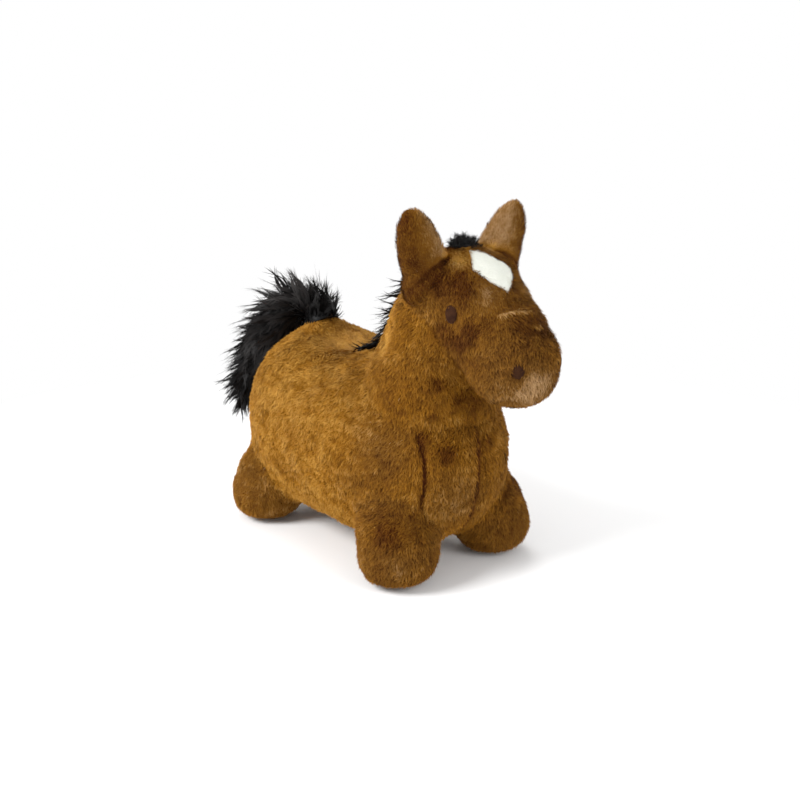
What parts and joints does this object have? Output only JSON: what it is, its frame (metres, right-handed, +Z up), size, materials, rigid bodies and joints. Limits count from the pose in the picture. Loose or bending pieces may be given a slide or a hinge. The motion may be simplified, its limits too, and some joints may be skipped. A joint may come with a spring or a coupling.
{
  "type": "plush bouncy hopper",
  "caption": "Ride-on bouncy horse: an inflatable body in a zip-off plush cover, with ears to hold, a mane, a tail and four round feet.",
  "frame": {"origin": "centre of the bounding box in plan, on the ground under the soles", "axes": "+Z up, nose towards -Y, tail towards +Y, the horse's own left towards +X"},
  "size_m": [0.29, 0.6596, 0.5093],
  "materials": {
    "plush": "matte",
    "black_hair": "matte",
    "white_plush": "matte",
    "thread": "satin",
    "zip_cloth": "matte",
    "zip_plastic": "satin",
    "zip_metal": "satin",
    "vinyl": "satin",
    "valve_plastic": "gloss"
  },
  "bodies": {
    "cover": {"side_panel_left": "plush", "side_panel_right": "plush", "underbody_panel_left": "plush", "underbody_panel_right": "plush", "neck_cover": "plush", "head_cover": "plush", "muzzle_cover": "plush", "ear_cover_left": "plush", "ear_cover_right": "plush", "leg_cover_front_left": "plush", "leg_cover_front_right": "plush", "leg_cover_rear_left": "plush", "leg_cover_rear_right": "plush", "sole_front_left": "plush", "sole_front_right": "plush", "sole_rear_left": "plush", "sole_rear_right": "plush", "blaze_patch": "white_plush", "eye_left": "thread", "eye_right": "thread", "nostril_left": "thread", "nostril_right": "thread", "forelock": "black_hair", "mane": "black_hair", "zip_tape_left": "zip_cloth", "zip_tape_right": "zip_cloth", "zip_teeth_left": "zip_plastic", "zip_teeth_right": "zip_plastic", "zip_top_stop_left": "zip_metal", "zip_top_stop_right": "zip_metal", "zip_bottom_stop": "zip_metal", "bladder": "vinyl", "valve_seat": "valve_plastic"},
    "tail": {"tail": "black_hair"},
    "zip_slider": {"zip_slider": "zip_metal"},
    "zip_pull": {"zip_pull": "zip_metal"},
    "valve_plug": {"valve_plug": "valve_plastic"}
  },
  "joints": [
    {"name": "tail_lift", "type": "hinge", "parent": "cover", "child": "tail", "pos_m": [0, 0.1346, 0.3045], "axis": [1, 0, 0], "range_deg": [0, 60]},
    {"name": "zip_run", "type": "slide", "parent": "cover", "child": "zip_slider", "axis": [0, 1, 0], "range_m": [0, 0.138]},
    {"name": "zip_pull_swing", "type": "hinge", "parent": "zip_slider", "child": "zip_pull", "pos_m": [0, -0.05991, 0.0208], "axis": [1, 0, 0], "range_deg": [-85, 85]},
    {"name": "valve_plug_pull", "type": "slide", "parent": "cover", "child": "valve_plug", "axis": [0, 0, -1], "range_m": [0, 0.0145]}
  ]
}
